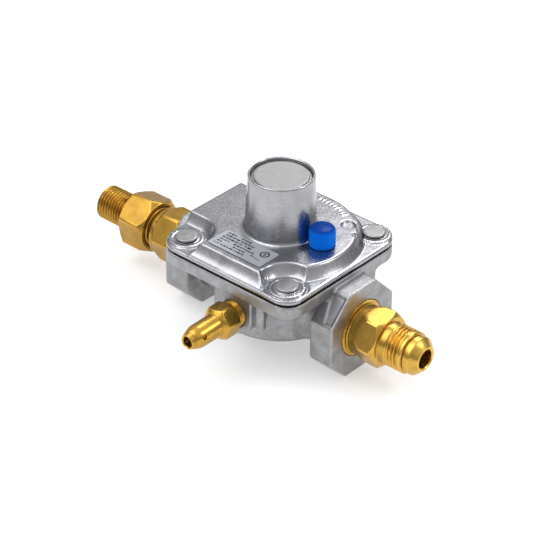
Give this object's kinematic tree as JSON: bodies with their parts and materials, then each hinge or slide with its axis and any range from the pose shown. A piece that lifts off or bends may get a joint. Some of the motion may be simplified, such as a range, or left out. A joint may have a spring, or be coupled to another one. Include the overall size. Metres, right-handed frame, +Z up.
{
  "type": "gas pressure regulator",
  "caption": "Square-flanged gas appliance pressure regulator with a spring tower, blue vent cap, brass flare and pipe end fittings and a pressure test nipple.",
  "frame": {"origin": "centre of the flat underside of the round bowl, on the spring tower's axis", "axes": "+X along the gas pipe towards the outlet flare (inlet at -X), +Y to the back away from the test nipple, +Z up the spring tower"},
  "size_m": [0.1553, 0.0841, 0.0648],
  "materials": {
    "cast_aluminium": "die-cast, lightly tumbled",
    "brass": "machined",
    "steel": "zinc plated",
    "rivet_aluminium": "pressed, matt",
    "black_rubber": "moulded",
    "blue_plastic": "moulded, glossy",
    "white_plastic": "moulded",
    "label_foil": "printed foil"
  },
  "bodies": {
    "regulator": {"lower_body": "cast_aluminium", "cover": "cast_aluminium", "flange_rivet_front_left": "rivet_aluminium", "flange_rivet_front_right": "rivet_aluminium", "flange_rivet_rear_left": "rivet_aluminium", "flange_rivet_rear_right": "rivet_aluminium", "diaphragm": "black_rubber", "seat_o_ring": "black_rubber", "seat_insert": "brass", "stem_guide": "brass", "vent_nipple": "brass", "outlet_connector": "brass", "inlet_connector": "brass", "inlet_adapter": "brass", "test_nipple": "brass", "main_spring": "steel", "label_plate": "label_foil"},
    "valve": {"valve_stem": "steel", "poppet_disc": "brass", "poppet_pad": "black_rubber", "poppet_retainer": "steel", "diaphragm_plate_lower": "steel", "diaphragm_plate_upper": "steel", "stem_nut": "steel"},
    "spring_seat": {"spring_seat": "steel"},
    "adjuster": {"adjusting_screw": "white_plastic"},
    "seal_cap": {"seal_cap": "cast_aluminium", "seal_cap_ring": "black_rubber"},
    "vent_cap": {"vent_cap": "blue_plastic"}
  },
  "joints": [
    {"name": "valve_lift", "type": "slide", "parent": "regulator", "child": "valve", "axis": [0, 0, 1], "range_m": [0, 0.0015], "stiffness_N_per_m": 300, "springref_m": -0.002, "deforming": ["main_spring", "diaphragm"]},
    {"name": "adjuster_travel", "type": "slide", "parent": "regulator", "child": "spring_seat", "axis": [0, 0, 1], "range_m": [-0.003, 0.00225], "deforming": ["main_spring"]},
    {"name": "adjuster_turn", "type": "hinge", "parent": "spring_seat", "child": "adjuster", "pos_m": [0, 0, 0.0464], "axis": [0, 0, 1], "range_deg": [-720.5, 540.5]},
    {"name": "seal_cap_lift", "type": "slide", "parent": "regulator", "child": "seal_cap", "axis": [0, 0, 1], "range_m": [0, 0.015]},
    {"name": "vent_cap_pull", "type": "slide", "parent": "regulator", "child": "vent_cap", "axis": [0, 0, 1], "range_m": [0, 0.012]}
  ],
  "couplings": [
    {"joint": "adjuster_turn", "follows": "adjuster_travel", "rad_per_m": 4188.8}
  ]
}
